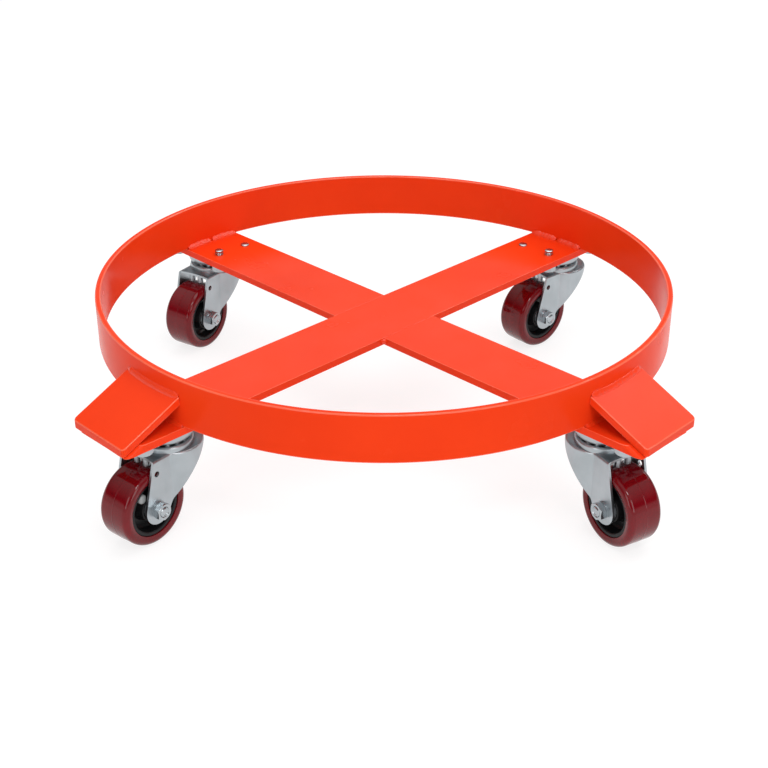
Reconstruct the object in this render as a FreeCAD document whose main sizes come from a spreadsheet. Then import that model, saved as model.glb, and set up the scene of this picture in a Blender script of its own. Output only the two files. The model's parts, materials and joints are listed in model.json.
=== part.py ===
import FreeCAD, Part
import math
import os
import re
import Sketcher
from FreeCAD import Placement, Rotation, Vector

# Drum trolley, millimetres. The floor is z = 0, the ring's axis is z, and the
# bars of the cross lie on the diagonals. Heights stack up from the wheels.
SIZES = {
    # welded frame
    "ring_bore": 600,
    "ring_wall": 6,
    "ring_height": 50,
    "bar_width": 76,
    "bar_thick": 8,
    "guard_overhang": 4,
    "guard_rise": 22,
    "guard_angle": 25,
    "guard_thick": 8,
    "weld_gap": 0.2,
    "edge_round": 0.8,
    # caster plate and its fasteners
    "swivel_inset": 7,
    "plate_length": 105,
    "plate_thick": 4,
    "plate_corner": 7,
    "plate_rim": 12,
    "hole_end": 12.5,
    "hole_edge": 18,
    "hole_clear": 1,
    "bolt_dia": 10,
    "bolt_head_flats": 16,
    "bolt_head_height": 6.4,
    "bolt_reach_long": 6,
    "bolt_reach_short": 2,
    "bolt_guard_clear": 0.75,
    "bolt_tip_chamfer": 1,
    "spring_washer_dia": 17,
    "spring_washer_thick": 2,
    "thread_gap": 0.1,
    # swivel head
    "dome_gap": 13,
    "dome_dia": 54,
    "dome_step": 6,
    "dome_round": 3,
    "race_gap": 2.4,
    "race_bore": 34,
    "race_width": 8,
    "race_flare": 3.5,
    "ball_dia": 5,
    "ball_clear": 0.3,
    "ball_count": 14,
    "kingpin_dia": 12,
    "kingpin_sink": 2,
    "kingpin_head": 4,
    "pin_fit": 0.1,
    "swivel_clear": 0.4,
    "lower_race_dia": 34,
    "lower_race_thick": 4,
    # fork
    "crown_clear": 10.5,
    "crown_dia": 64,
    "crown_setback": 6.3,
    "fork_sheet": 2.5,
    "fork_side_gap": 0.8,
    "fork_end_radius": 15.5,
    "skirt_rise": 49,
    "skirt_back": 25,
    "back_curve": 200,
    "back_meet_angle": 200,
    "front_reach": 38,
    "front_meet_angle": 15,
    "arch_depth": 2,
    "lug_dia": 7,
    "lug_drop": 8,
    "lug_pitch": 12,
    "lug_setback": 5.5,
    "side_hole_dia": 6,
    "side_hole_inset": 3,
    "side_hole_drop": 13.9,
    # wheel and axle
    "trail": 36.3,
    "wheel_dia": 80,
    "tyre_width": 38,
    "tyre_depth": 10,
    "tyre_shoulder": 6,
    "tyre_side_slope": 1.2,
    "bond_gap": 0.1,
    "rim_depth": 4,
    "rim_inset": 2,
    "web_thick": 8,
    "hub_dia": 30,
    "hub_inset": 3,
    "bearing_width": 10,
    "bearing_wall": 5,
    "press_gap": 0.05,
    "sleeve_wall": 2.5,
    "run_clear": 0.15,
    "spacer_wall": 4,
    "side_clear": 0.4,
    "axle_dia": 10,
    "axle_fit": 0.15,
    "axle_flats": 16,
    "axle_head_height": 6.4,
    "axle_nut_height": 6.5,
    "axle_tail": 0.6,
    "axle_washer_dia": 17,
    "axle_washer_thick": 1.6,
    # rest headings of the trailing wheels, from +X
    "heading_angle_front_left": 232,
    "heading_angle_front_right": 299.7,
    "heading_angle_rear_left": 238,
    "heading_angle_rear_right": 221,
}

AZIMUTH = {"front_left": 225, "front_right": 315, "rear_left": 135, "rear_right": 45}
NUT_ON_LEFT = {"front_left", "rear_left", "rear_right"}

HOLE_PITCH_LONG = "(plate_length - 2 * hole_end)"
HOLE_PITCH_WIDE = "(bar_width - 2 * hole_edge)"
RING_OUTER = "(ring_bore / 2 + ring_wall)"
SWIVEL_REACH = f"({RING_OUTER} - swivel_inset)"
AXLE_LEVEL = "(wheel_dia / 2)"
FLANGE_UNDER = "(wheel_dia + crown_clear)"
FLANGE_TOP = f"({FLANGE_UNDER} + fork_sheet)"
DOME_TOP = f"({FLANGE_TOP} + dome_step)"
PLATE_UNDER = f"({DOME_TOP} + dome_gap)"
PLATE_TOP = f"({PLATE_UNDER} + plate_thick)"
BAR_TOP = f"({PLATE_TOP} + bar_thick)"
BALL_LEVEL = f"({DOME_TOP} + race_gap / 2)"
RACE_UNDER = f"({DOME_TOP} + race_gap)"
BALL_CIRCLE = "(race_bore / 2 + race_width / 2)"
LOWER_RACE_TOP = f"({DOME_TOP} - fork_sheet - swivel_clear)"
LOWER_RACE_UNDER = f"({LOWER_RACE_TOP} - lower_race_thick)"
FORK_IN = "(tyre_width / 2 + fork_side_gap)"
FORK_OUT = f"({FORK_IN} + fork_sheet)"
CROWN_OUT = "(crown_dia / 2)"
CROWN_IN = f"({CROWN_OUT} - fork_sheet)"
CROWN_BACK = f"({CROWN_OUT} + crown_setback)"
FORK_FRONT = "(trail + fork_end_radius)"
HUB_HALF = "(tyre_width / 2 - hub_inset)"
SLEEVE_OUT = "(axle_dia / 2 + axle_fit + sleeve_wall)"
BEARING_IN = f"({SLEEVE_OUT} + run_clear)"
BEARING_OUT = f"({BEARING_IN} + bearing_wall)"
TYRE_IN = "(wheel_dia / 2 - tyre_depth)"
RIM_OUT = f"({TYRE_IN} - bond_gap)"
GUARD_HALF = "(bar_width / 2 + guard_overhang)"
GUARD_SLOPE = "tan(guard_angle)"
OUTER_BOLT_EDGE = f"({SWIVEL_REACH} + {HOLE_PITCH_LONG} / 2 + bolt_dia / 2)"
GUARD_ROOM = f"(guard_rise - ({OUTER_BOLT_EDGE} - {RING_OUTER}) * {GUARD_SLOPE} - bolt_guard_clear)"
BAR_END_TOP = f"({RING_OUTER} + guard_rise / {GUARD_SLOPE})"
BAR_END_LOW = f"({RING_OUTER} + (guard_rise + bar_thick) / {GUARD_SLOPE})"

doc = FreeCAD.newDocument("drum_trolley")
sheet = doc.addObject("Spreadsheet::Sheet", "Sizes")
for row, (alias, size) in enumerate(SIZES.items(), 1):
    sheet.set(f"A{row}", alias)
    sheet.set(f"B{row}", str(size))
    sheet.setAlias(f"B{row}", alias)
doc.recompute()

subparts = []


def full(text):
    return re.sub(r"[a-z]\w*", lambda word: "Sizes." + word[0] if word[0] in SIZES else word[0], text)


def number(text):
    return float(sheet.evalExpression(full(text)))


def bind(target, path, text):
    target.setExpression(path, full(text))


def new_body(name):
    body = doc.addObject("PartDesign::Body", name)
    body.Label = name
    subparts.append(body)
    return body


def place(part, x, y, z, turn):
    part.Placement = Placement(Vector(0, 0, 0), Rotation(Vector(0, 0, 1), number(turn)))
    for path, text in (("Base.x", x), ("Base.y", y), ("Base.z", z)):
        bind(part, "Placement." + path, text)


def swivel_spot(corner):
    azimuth = AZIMUTH[corner]
    return f"{SWIVEL_REACH} * cos({azimuth})", f"{SWIVEL_REACH} * sin({azimuth})"


def axle_spot(corner):
    x, y = swivel_spot(corner)
    heading = "heading_angle_" + corner
    return f"{x} + trail * cos({heading})", f"{y} + trail * sin({heading})"


def axle_turn(corner):
    heading = "heading_angle_" + corner
    return heading if corner in NUT_ON_LEFT else heading + " + 180"


def new_sketch(body, plane, level=None):
    sketch = body.newObject("Sketcher::SketchObject", body.Label + "_sketch")
    support = next(item for item in body.Origin.OriginFeatures if item.Role == plane)
    sketch.AttachmentSupport = [(support, "")]
    sketch.MapMode = "FlatFace"
    if level:
        bind(sketch, "AttachmentOffset.Base.z", level)
    return sketch


def fix_point(sketch, edge, end, x, y):
    for kind, text in (("DistanceX", x), ("DistanceY", y)):
        index = sketch.addConstraint(Sketcher.Constraint(kind, -1, 1, edge, end, number(text)))
        bind(sketch, f"Constraints[{index}]", text)


def fix_radius(sketch, edge, text):
    index = sketch.addConstraint(Sketcher.Constraint("Radius", edge, number(text)))
    bind(sketch, f"Constraints[{index}]", text)


def circle(sketch, x, y, radius):
    middle = Vector(number(x), number(y), 0)
    edge = sketch.addGeometry(Part.Circle(middle, Vector(0, 0, 1), number(radius)))
    fix_point(sketch, edge, 3, x, y)
    fix_radius(sketch, edge, radius)


def arc_edge(sketch, here, there, radius):
    # the arc spans under a half circle; a minus sign before its radius turns it clockwise
    clockwise = radius.startswith("-")
    size = number(radius.lstrip("-"))
    half = (there - here) * 0.5
    side = Vector(-half.y, half.x, 0).normalize() * (-1 if clockwise else 1)
    middle = here + half + side * math.sqrt(max(size * size - half.Length * half.Length, 0))
    ends = (there, here) if clockwise else (here, there)
    angles = [math.atan2(spot.y - middle.y, spot.x - middle.x) for spot in ends]
    edge = sketch.addGeometry(Part.ArcOfCircle(Part.Circle(middle, Vector(0, 0, 1), size), *angles))
    fix_radius(sketch, edge, radius.lstrip("-"))
    return (edge, 2, 1) if clockwise else (edge, 1, 2)


def outline(sketch, corners):
    # each corner is (x, y), or (x, y, radius) where an arc leaves it; counterclockwise
    spots = [Vector(number(corner[0]), number(corner[1]), 0) for corner in corners]
    edges = []
    for index, corner in enumerate(corners):
        here, there = spots[index], spots[(index + 1) % len(spots)]
        if len(corner) == 3:
            edges.append(arc_edge(sketch, here, there, corner[2]))
        else:
            edges.append((sketch.addGeometry(Part.LineSegment(here, there)), 1, 2))
    for index, corner in enumerate(corners):
        edge, start, end = edges[index]
        following, its_start, its_end = edges[(index + 1) % len(edges)]
        sketch.addConstraint(Sketcher.Constraint("Coincident", edge, end, following, its_start))
        fix_point(sketch, edge, start, corner[0], corner[1])


def rounded_box(x0, y0, x1, y1, radius):
    return [
        (f"{x0} + {radius}", y0),
        (f"{x1} - {radius}", y0, radius),
        (x1, f"{y0} + {radius}"),
        (x1, f"{y1} - {radius}", radius),
        (f"{x1} - {radius}", y1),
        (f"{x0} + {radius}", y1, radius),
        (x0, f"{y1} - {radius}"),
        (x0, f"{y0} + {radius}", radius),
    ]


def box_corners(x0, y0, x1, y1):
    return [(x0, y0), (x1, y0), (x1, y1), (x0, y1)]


def hexagon(flats):
    reach = f"{flats} / 2 / cos(30)"
    return [(f"{reach} * cos({60 * step})", f"{reach} * sin({60 * step})") for step in range(6)]


def pad(body, sketch, length, symmetric=False, downward=False):
    made = body.newObject("PartDesign::Pad", body.Label + "_pad")
    made.Profile = sketch
    bind(made, "Length", length)
    made.SideType = "Symmetric" if symmetric else "One side"
    made.Reversed = downward


def pocket(body, sketch, symmetric=True):
    made = body.newObject("PartDesign::Pocket", body.Label + "_pocket")
    made.Profile = sketch
    made.Type = "ThroughAll"
    made.SideType = "Symmetric" if symmetric else "One side"


def spin(body, sketch, axis, kind="Revolution"):
    made = body.newObject("PartDesign::" + kind, body.Label + "_" + kind.lower())
    made.Profile = sketch
    made.ReferenceAxis = (sketch, [axis])
    made.Angle = 360


def soften(body, radius, wanted):
    doc.recompute()
    base = body.Tip
    names = [f"Edge{index}" for index, edge in enumerate(base.Shape.Edges, 1) if wanted(edge)]
    made = body.newObject("PartDesign::Fillet", body.Label + "_fillet")
    made.Base = (base, names)
    bind(made, "Radius", radius)


def long_edges(half_width):
    # picks the edges that run the length of a bar or a guard plate, on its side faces
    side = number(half_width)

    def wanted(edge):
        ends = [vertex.Point for vertex in edge.Vertexes]
        return all(abs(abs(end.y) - side) < 1e-6 for end in ends) and abs(ends[0].x - ends[-1].x) > side / 2

    return wanted


def plate_holes(sketch, radius, along):
    for x_sign in ("+", "-"):
        for y_sign in ("", "-"):
            x = f"{along} {x_sign} {HOLE_PITCH_LONG} / 2"
            circle(sketch, x, f"{y_sign}{HOLE_PITCH_WIDE} / 2", radius)


def group(name, shapes, x="0", y="0", z="0", turn="0"):
    feature = doc.addObject("Part::Feature", name)
    feature.Label = name
    feature.Shape = Part.makeCompound(shapes)
    place(feature, x, y, z, turn)
    subparts.append(feature)


def ring_band():
    body = new_body("ring_band")
    sketch = new_sketch(body, "XZ_Plane")
    rim = f"({BAR_TOP} + ring_height)"
    outline(sketch, rounded_box("ring_bore / 2", BAR_TOP, RING_OUTER, rim, "edge_round"))
    spin(body, sketch, "V_Axis")


def cross_bar(name, inner_end, azimuth, both_ends):
    body = new_body(name)
    sketch = new_sketch(body, "XZ_Plane")
    start_low, start_top = inner_end
    outline(sketch, [
        (start_low, PLATE_TOP),
        (BAR_END_LOW, PLATE_TOP),
        (BAR_END_TOP, BAR_TOP),
        (start_top, BAR_TOP),
    ])
    pad(body, sketch, "bar_width", symmetric=True)
    soften(body, "edge_round", long_edges("bar_width / 2"))
    holes = new_sketch(body, "XY_Plane")
    for along in (SWIVEL_REACH, "-" + SWIVEL_REACH) if both_ends else (SWIVEL_REACH,):
        plate_holes(holes, "bolt_dia / 2 + thread_gap", along)
    pocket(body, holes)
    place(body, "0", "0", "0", str(azimuth))


def guard_plate(corner):
    body = new_body("gusset_plate_" + corner)
    sketch = new_sketch(body, "XZ_Plane")
    chord = f"(sqrt({RING_OUTER} * {RING_OUTER} - {GUARD_HALF} * {GUARD_HALF}) - guard_thick)"
    under = f"({BAR_TOP} + guard_rise + ({RING_OUTER} - {chord}) * {GUARD_SLOPE})"
    skin = "guard_thick / cos(guard_angle)"
    outline(sketch, [
        (chord, under),
        (BAR_END_LOW, PLATE_TOP),
        (BAR_END_LOW, f"{PLATE_TOP} + {skin}"),
        (chord, f"{under} + {skin}"),
    ])
    pad(body, sketch, f"2 * {GUARD_HALF}", symmetric=True)
    soften(body, "edge_round", long_edges(GUARD_HALF))
    ring_face = new_sketch(body, "XY_Plane")
    circle(ring_face, "0", "0", f"{RING_OUTER} + weld_gap")
    pocket(body, ring_face)
    place(body, "0", "0", "0", str(AZIMUTH[corner]))


def top_plate(corner):
    body = new_body("top_plate_" + corner)
    sketch = new_sketch(body, "XY_Plane", PLATE_UNDER)
    long, wide = "plate_length / 2", f"({HOLE_PITCH_WIDE} / 2 + plate_rim)"
    outline(sketch, rounded_box("-" + long, "-" + wide, long, wide, "plate_corner"))
    pad(body, sketch, "plate_thick")
    race = new_sketch(body, "XZ_Plane")
    outline(race, [
        ("race_bore / 2", RACE_UNDER),
        ("race_bore / 2 + race_width", RACE_UNDER),
        ("race_bore / 2 + race_width + race_flare", f"{PLATE_UNDER} + plate_thick / 2"),
        ("race_bore / 2", f"{PLATE_UNDER} + plate_thick / 2"),
    ])
    spin(body, race, "V_Axis")
    groove = new_sketch(body, "XZ_Plane")
    circle(groove, BALL_CIRCLE, BALL_LEVEL, "ball_dia / 2 + ball_clear")
    spin(body, groove, "V_Axis", "Groove")
    sink = new_sketch(body, "XZ_Plane")
    bore = "kingpin_dia / 2 + pin_fit"
    outline(sink, [
        ("0", RACE_UNDER),
        (bore, RACE_UNDER),
        (bore, f"{PLATE_TOP} - kingpin_sink"),
        (f"{bore} + kingpin_sink", PLATE_TOP),
        ("0", PLATE_TOP),
    ])
    spin(body, sink, "V_Axis", "Groove")
    holes = new_sketch(body, "XY_Plane")
    plate_holes(holes, "(bolt_dia + hole_clear) / 2", "0")
    pocket(body, holes)
    place(body, *swivel_spot(corner), "0", str(AZIMUTH[corner]))


def kingpin(corner):
    body = new_body("kingpin_" + corner)
    sketch = new_sketch(body, "XZ_Plane")
    radius = "kingpin_dia / 2"
    head = "kingpin_dia / 2 + kingpin_head"
    outline(sketch, [
        ("0", f"{LOWER_RACE_UNDER} - kingpin_head"),
        (f"{head} - kingpin_head / 2", f"{LOWER_RACE_UNDER} - kingpin_head"),
        (head, f"{LOWER_RACE_UNDER} - kingpin_head / 2"),
        (head, LOWER_RACE_UNDER),
        (radius, LOWER_RACE_UNDER),
        (radius, f"{PLATE_TOP} - kingpin_sink"),
        (f"{radius} + kingpin_sink", PLATE_TOP),
        ("0", PLATE_TOP),
    ])
    spin(body, sketch, "V_Axis")
    place(body, *swivel_spot(corner), "0", str(AZIMUTH[corner]))


def lower_race(corner):
    body = new_body("lower_race_" + corner)
    sketch = new_sketch(body, "XZ_Plane")
    rim = "lower_race_dia / 2"
    outline(sketch, [
        ("kingpin_dia / 2 + pin_fit", LOWER_RACE_UNDER),
        (f"{rim} - lower_race_thick / 2", LOWER_RACE_UNDER, "lower_race_thick / 2"),
        (rim, f"{LOWER_RACE_UNDER} + lower_race_thick / 2"),
        (rim, LOWER_RACE_TOP),
        ("kingpin_dia / 2 + pin_fit", LOWER_RACE_TOP),
    ])
    spin(body, sketch, "V_Axis")
    place(body, *swivel_spot(corner), "0", str(AZIMUTH[corner]))


def swivel_balls(corner):
    count = int(number("ball_count"))
    reach, level, radius = number(BALL_CIRCLE), number(BALL_LEVEL), number("ball_dia / 2")
    balls = []
    for step in range(count):
        angle = 2 * math.pi * step / count
        spot = Vector(reach * math.cos(angle), reach * math.sin(angle), level)
        balls.append(Part.makeSphere(radius, spot))
    group("swivel_balls_" + corner, balls, *swivel_spot(corner), "0", "heading_angle_" + corner)


def u_shape(crown, half_width, front):
    # a round back, centred behind the swivel axis, that runs into two straight legs
    meet = f"sqrt({crown} * {crown} - {half_width} * {half_width}) - crown_setback"
    return [
        (meet, f"-{half_width}"),
        (front, f"-{half_width}"),
        (front, half_width),
        (meet, half_width, crown),
        (f"-{crown} - crown_setback", "0", crown),
    ]


def fork(corner):
    body = new_body("fork_" + corner)
    wall = new_sketch(body, "XY_Plane", FLANGE_TOP)
    outline(wall, u_shape(CROWN_OUT, FORK_OUT, FORK_FRONT))
    pad(body, wall, f"{FLANGE_TOP} - {AXLE_LEVEL} + fork_end_radius", downward=True)
    dome = new_sketch(body, "XY_Plane", FLANGE_TOP)
    circle(dome, "0", "0", "dome_dia / 2")
    pad(body, dome, "dome_step")
    top = number(DOME_TOP)
    soften(body, "dome_round", lambda edge: all(abs(end.Z - top) < 1e-6 for end in edge.Vertexes))

    inside = new_sketch(body, "XY_Plane", FLANGE_UNDER)
    outline(inside, u_shape(CROWN_IN, FORK_IN, f"{FORK_FRONT} + fork_sheet"))
    pocket(body, inside, symmetric=False)
    under_dome = new_sketch(body, "XY_Plane", f"{DOME_TOP} - fork_sheet")
    circle(under_dome, "0", "0", "dome_dia / 2 - fork_sheet")
    pocket(body, under_dome, symmetric=False)

    # the side outline: skirt at the back, a curve down to the round axle end, a raked front
    trim = new_sketch(body, "XZ_Plane")
    skirt = f"({AXLE_LEVEL} + skirt_rise)"
    floor_line = f"({AXLE_LEVEL} - 2 * fork_end_radius)"
    meet_x = "trail + fork_end_radius * cos(back_meet_angle)"
    meet_z = f"{AXLE_LEVEL} + fork_end_radius * sin(back_meet_angle)"
    front_x = "trail + fork_end_radius * cos(front_meet_angle)"
    front_z = f"{AXLE_LEVEL} + fork_end_radius * sin(front_meet_angle)"
    outline(trim, [
        (f"-{CROWN_BACK} - fork_sheet", floor_line),
        (f"{FORK_FRONT} + fork_sheet", floor_line),
        (f"{FORK_FRONT} + fork_sheet", f"{FLANGE_TOP} + fork_sheet"),
        ("front_reach", f"{FLANGE_TOP} + fork_sheet"),
        ("front_reach", FLANGE_TOP),
        (front_x, front_z, "-fork_end_radius"),
        (meet_x, meet_z, "back_curve"),
        ("-skirt_back", skirt),
        (f"-{CROWN_BACK} - fork_sheet", skirt),
    ])
    pocket(body, trim)

    arch = new_sketch(body, "XY_Plane", FLANGE_TOP)
    arch_radius = f"({FORK_IN} * {FORK_IN} + arch_depth * arch_depth) / 2 / arch_depth"
    outline(arch, [
        (f"{FORK_FRONT} + fork_sheet", f"-{FORK_IN}"),
        (f"{FORK_FRONT} + fork_sheet", FORK_IN),
        ("front_reach", FORK_IN, arch_radius),
        ("front_reach", f"-{FORK_IN}"),
    ])
    pocket(body, arch, symmetric=False)

    bores = new_sketch(body, "XZ_Plane")
    circle(bores, "trail", AXLE_LEVEL, "axle_dia / 2 + axle_fit")
    pocket(body, bores)
    side_hole = new_sketch(body, "XZ_Plane")
    hole_x, hole_z = "front_reach - side_hole_inset", f"{FLANGE_TOP} - side_hole_drop"
    circle(side_hole, hole_x, hole_z, "side_hole_dia / 2")
    pocket(body, side_hole, symmetric=False)

    lugs = new_sketch(body, "XY_Plane", FLANGE_UNDER)
    for sign in ("", "-"):
        circle(lugs, "front_reach - lug_setback", f"{sign}lug_pitch / 2", "lug_dia / 2")
    pad(body, lugs, "lug_drop", downward=True)

    groove = new_sketch(body, "XZ_Plane")
    circle(groove, BALL_CIRCLE, BALL_LEVEL, "ball_dia / 2 + ball_clear")
    spin(body, groove, "V_Axis", "Groove")
    pin_hole = new_sketch(body, "XY_Plane")
    circle(pin_hole, "0", "0", "kingpin_dia / 2 + swivel_clear")
    pocket(body, pin_hole)
    place(body, *swivel_spot(corner), "0", "heading_angle_" + corner)


def wheel_body(name, corner, profile):
    # a turned piece on the axle, whose line is local y
    body = new_body(f"{name}_{corner}")
    sketch = new_sketch(body, "YZ_Plane")
    outline(sketch, profile)
    spin(body, sketch, "H_Axis")
    place(body, *axle_spot(corner), AXLE_LEVEL, "heading_angle_" + corner)


def tyre(corner):
    half = "tyre_width / 2"
    foot = f"({half} - tyre_side_slope)"
    tread = f"({half} - tyre_shoulder)"
    shoulder = "(wheel_dia / 2 - tyre_shoulder)"
    wheel_body("tyre", corner, [
        (f"-{foot}", TYRE_IN),
        (foot, TYRE_IN),
        (half, shoulder, "tyre_shoulder"),
        (tread, "wheel_dia / 2"),
        (f"-{tread}", "wheel_dia / 2", "tyre_shoulder"),
        (f"-{half}", shoulder),
    ])


def wheel_core(corner):
    rim_half = "(tyre_width / 2 - tyre_side_slope - rim_inset / 2)"
    rim_in = f"({RIM_OUT} - rim_depth)"
    bore = f"({BEARING_OUT} + press_gap)"
    wheel_body("wheel_core", corner, [
        (f"-{HUB_HALF}", bore),
        (HUB_HALF, bore),
        (HUB_HALF, "hub_dia / 2"),
        ("web_thick / 2", "hub_dia / 2 + rim_inset"),
        ("web_thick / 2", f"{rim_in} - rim_inset"),
        (rim_half, rim_in),
        (rim_half, RIM_OUT),
        (f"-{rim_half}", RIM_OUT),
        (f"-{rim_half}", rim_in),
        ("-web_thick / 2", f"{rim_in} - rim_inset"),
        ("-web_thick / 2", "hub_dia / 2 + rim_inset"),
        (f"-{HUB_HALF}", "hub_dia / 2"),
    ])


def turned_ring(start, width, inner, outer):
    along = Vector(0, 1, 0)
    begin = Vector(0, start, 0)
    bore = Part.makeCylinder(inner, width, begin, along)
    return Part.makeCylinder(outer, width, begin, along).cut(bore)


def hub_bearings(corner):
    width, hub_half = number("bearing_width"), number(HUB_HALF)
    inner, outer = number(BEARING_IN), number(BEARING_OUT)
    rings = [turned_ring(start, width, inner, outer) for start in (-hub_half, hub_half - width)]
    group("hub_bearings_" + corner, rings, *axle_spot(corner), AXLE_LEVEL, "heading_angle_" + corner)


def axle_sleeve(corner):
    inner = "(axle_dia / 2 + axle_fit)"
    wheel_body("axle_sleeve", corner, box_corners(f"-{FORK_IN}", inner, FORK_IN, SLEEVE_OUT))


def axle_washers(corner):
    inner = number(f"{SLEEVE_OUT} + pin_fit")
    outer = inner + number("spacer_wall")
    begin, end = number(f"{HUB_HALF} + side_clear"), number(FORK_IN)
    rings = [turned_ring(start, end - begin, inner, outer) for start in (-end, begin)]
    bore, rim = number("axle_dia / 2 + axle_fit"), number("axle_washer_dia / 2")
    rings.append(turned_ring(number(FORK_OUT), number("axle_washer_thick"), bore, rim))
    group("axle_washers_" + corner, rings, *axle_spot(corner), AXLE_LEVEL, axle_turn(corner))


def hex_corner_cut(body, flats, outer_face, inward):
    # the turned chamfer on the corners of a hex, against one end face
    cut = new_sketch(body, "YZ_Plane")
    corner_radius = f"{flats} / 2 / cos(30)"
    depth = f"({corner_radius} - {flats} / 2)"
    face = [
        (outer_face, f"{flats} / 2"),
        (f"{outer_face} {inward} {depth}", f"{flats} / 2 + 2 * {depth}"),
        (outer_face, f"{flats} / 2 + 2 * {depth}"),
    ]
    outline(cut, face if inward == "+" else face[::-1])
    spin(body, cut, "H_Axis", "Groove")


def axle_bolt(corner):
    body = new_body("axle_bolt_" + corner)
    head = new_sketch(body, "XZ_Plane", FORK_OUT)
    outline(head, hexagon("axle_flats"))
    pad(body, head, "axle_head_height")
    hex_corner_cut(body, "axle_flats", f"-{FORK_OUT} - axle_head_height", "+")
    shank = new_sketch(body, "YZ_Plane")
    end = f"({FORK_OUT} + axle_washer_thick + axle_nut_height + axle_tail)"
    outline(shank, [
        (f"-{FORK_OUT}", "0"),
        (end, "0"),
        (end, "axle_dia / 2 - bolt_tip_chamfer"),
        (f"{end} - bolt_tip_chamfer", "axle_dia / 2"),
        (f"-{FORK_OUT}", "axle_dia / 2"),
    ])
    spin(body, shank, "H_Axis")
    place(body, *axle_spot(corner), AXLE_LEVEL, axle_turn(corner))


def axle_nut(corner):
    body = new_body("axle_nut_" + corner)
    seat = f"({FORK_OUT} + axle_washer_thick)"
    sketch = new_sketch(body, "XZ_Plane", f"-{seat}")
    outline(sketch, hexagon("axle_flats"))
    pad(body, sketch, "axle_nut_height", downward=True)
    hex_corner_cut(body, "axle_flats", f"{seat} + axle_nut_height", "-")
    bore = new_sketch(body, "XZ_Plane")
    circle(bore, "0", "0", "axle_dia / 2 + thread_gap")
    pocket(body, bore)
    place(body, *axle_spot(corner), AXLE_LEVEL, axle_turn(corner))


def hex_bolt(head_top, reach):
    # a hex bolt standing head down, its head's upper face at head_top
    flats, height = number("bolt_head_flats"), number("bolt_head_height")
    radius, tip = number("bolt_dia / 2"), number("bolt_tip_chamfer")
    corner = flats / 2 / math.cos(math.pi / 6)
    start = Vector(corner, 0, head_top - height)
    ring = [Rotation(Vector(0, 0, 1), 60 * step).multVec(start) for step in range(6)]
    ring.append(start)
    head = Part.Face(Part.makePolygon(ring)).extrude(Vector(0, 0, height))
    slope = corner - flats / 2
    cone = Part.makeCone(flats / 2, corner, slope, Vector(0, 0, head_top - height))
    rest = Part.makeCylinder(corner, height - slope, Vector(0, 0, head_top - height + slope))
    shank = Part.makeCylinder(radius, reach - head_top - tip, Vector(0, 0, head_top))
    point = Part.makeCone(radius, radius - tip, tip, Vector(0, 0, reach - tip))
    return head.common(cone.fuse(rest)).fuse([shank, point]).removeSplitter()


def split_washer(top):
    inner, outer = number("bolt_dia / 2 + pin_fit"), number("spring_washer_dia / 2")
    thick = number("spring_washer_thick")
    base = Vector(0, 0, top - thick)
    return Part.makeCylinder(outer, thick, base).cut(Part.makeCylinder(inner, thick, base))


def caster_fasteners():
    under, bar_top = number(PLATE_UNDER), number(BAR_TOP)
    head_top = under - number("spring_washer_thick")
    long_pitch, wide_pitch = number(HOLE_PITCH_LONG) / 2, number(HOLE_PITCH_WIDE) / 2
    bolts = {"long": [], "short": []}
    washers = []
    for azimuth in AZIMUTH.values():
        turn = Rotation(Vector(0, 0, 1), azimuth)
        for x in (-long_pitch, long_pitch):
            for y in (-wide_pitch, wide_pitch):
                spot = turn.multVec(Vector(number(SWIVEL_REACH) + x, y, 0))
                across = turn.multVec(Vector(0, y, 0))
                length = "long" if across.y < 0 else "short"
                reach = number("bolt_reach_" + length)
                if x > 0:
                    reach = min(reach, number(GUARD_ROOM))  # these stand under the guard plate
                bolts[length].append(hex_bolt(head_top, bar_top + reach).translated(spot))
                washers.append(split_washer(under).translated(spot))
    group("caster_bolts_long", bolts["long"])
    group("caster_bolts_short", bolts["short"])
    group("spring_washers", washers)


def build():
    ring_band()
    cross_bar("through_bar", (f"-{BAR_END_LOW}", f"-{BAR_END_TOP}"), AZIMUTH["rear_right"], True)
    for corner in ("front_right", "rear_left"):
        cross_bar("half_bar_" + corner, ("bar_width / 2", "bar_width / 2"), AZIMUTH[corner], False)
    caster_fasteners()
    pieces = (
        guard_plate, top_plate, kingpin, lower_race, swivel_balls, fork, tyre, wheel_core,
        hub_bearings, axle_sleeve, axle_washers, axle_bolt, axle_nut,
    )
    for corner in AZIMUTH:
        for piece in pieces:
            piece(corner)
    doc.recompute()


def export():
    failed = [item.Label for item in doc.Objects if {"Invalid", "Error"} & set(item.State)]
    failed += [part.Label for part in subparts if part.Shape.isNull() or not part.Shape.isValid()]
    if failed:
        raise RuntimeError("not built: " + ", ".join(failed))
    os.makedirs("parts", exist_ok=True)
    for part in subparts:
        part.Shape.exportStep(f"parts/{part.Label}.step")
        box = part.Shape.BoundBox
        print(part.Label, len(part.Shape.Solids), "solids", round(part.Shape.Volume), "mm3",
              [round(edge, 1) for edge in (box.XMin, box.YMin, box.ZMin, box.XMax, box.YMax, box.ZMax)])


build()
export()
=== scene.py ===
import json
import math
import random

import bpy
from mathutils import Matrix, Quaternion, Vector


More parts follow.
